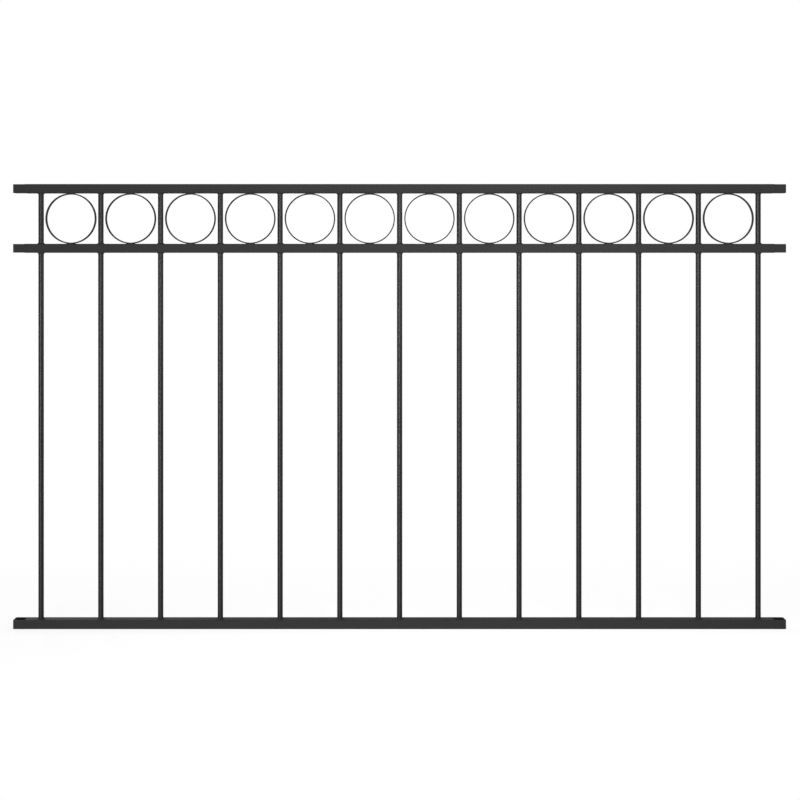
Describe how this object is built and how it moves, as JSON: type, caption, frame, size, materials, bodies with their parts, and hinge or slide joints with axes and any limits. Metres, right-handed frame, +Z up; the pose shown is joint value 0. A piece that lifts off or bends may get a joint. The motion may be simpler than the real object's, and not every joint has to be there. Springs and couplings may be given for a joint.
{
  "type": "steel fence panel",
  "caption": "Black powder-coated steel fence panel of tube rails and round pickets, with a row of rings under its top rail and brackets at the rail ends.",
  "frame": {"origin": "middle of the outer face of the bottom rail's left bracket, where the panel meets its post", "axes": "+X along the rails to the right as the picture shows them, +Y to the back, +Z up"},
  "size_m": [1.7, 0.03, 0.9783],
  "materials": {
    "black_coated_steel": "satin black powder coat"
  },
  "bodies": {
    "root": {"bottom_left_bracket": "black_coated_steel", "bottom_rail": "black_coated_steel", "bottom_right_bracket": "black_coated_steel", "middle_left_bracket": "black_coated_steel", "middle_rail": "black_coated_steel", "middle_right_bracket": "black_coated_steel", "picket_01": "black_coated_steel", "picket_02": "black_coated_steel", "picket_03": "black_coated_steel", "picket_04": "black_coated_steel", "picket_05": "black_coated_steel", "picket_06": "black_coated_steel", "picket_07": "black_coated_steel", "picket_08": "black_coated_steel", "picket_09": "black_coated_steel", "picket_10": "black_coated_steel", "picket_11": "black_coated_steel", "picket_12": "black_coated_steel", "picket_13": "black_coated_steel", "ring_01": "black_coated_steel", "ring_02": "black_coated_steel", "ring_03": "black_coated_steel", "ring_04": "black_coated_steel", "ring_05": "black_coated_steel", "ring_06": "black_coated_steel", "ring_07": "black_coated_steel", "ring_08": "black_coated_steel", "ring_09": "black_coated_steel", "ring_10": "black_coated_steel", "ring_11": "black_coated_steel", "ring_12": "black_coated_steel", "top_left_bracket": "black_coated_steel", "top_rail": "black_coated_steel", "top_right_bracket": "black_coated_steel"}
  },
  "joints": []
}
